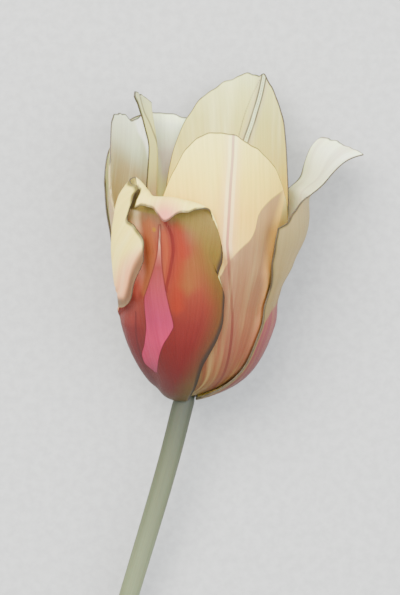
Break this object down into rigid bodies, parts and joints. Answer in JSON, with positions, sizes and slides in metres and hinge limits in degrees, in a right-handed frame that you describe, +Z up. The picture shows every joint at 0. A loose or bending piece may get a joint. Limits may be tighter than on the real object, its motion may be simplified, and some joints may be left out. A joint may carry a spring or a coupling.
{
  "type": "cut tulip",
  "caption": "Single late tulip bloom, half open, on a cut bare stem, lying on its side with pale-lined petals rolled and flared at the rim.",
  "frame": {"origin": "middle of the lying flower's box, on the surface that it lies on", "axes": "+Y along the flower from the cut end of the stem to the petal tips, +Z up from the surface, +X to the right for an eye that looks down with the bloom at the top"},
  "size_m": [0.0978, 0.24, 0.0571],
  "materials": {
    "outer_tepal": "fresh petal, satin, coral red outside with olive gold margins, cream inside",
    "inner_tepal": "fresh petal, satin, cream, with a dark red midrib and a tan foot outside",
    "stem": "smooth waxy stalk, grey green",
    "stamen": "dark powdery anther on a pale filament",
    "pistil": "smooth waxy ovary, yellow green, with a pale stigma"
  },
  "bodies": {
    "root": {"tepal_outer_front": "outer_tepal", "tepal_outer_right": "outer_tepal", "tepal_outer_back": "outer_tepal", "tepal_inner_front": "inner_tepal", "tepal_inner_back": "inner_tepal", "tepal_inner_left": "inner_tepal", "pistil": "pistil", "stamen_1": "stamen", "stamen_2": "stamen", "stamen_3": "stamen", "stamen_4": "stamen", "stamen_5": "stamen", "stamen_6": "stamen", "stem": "stem"}
  },
  "joints": []
}
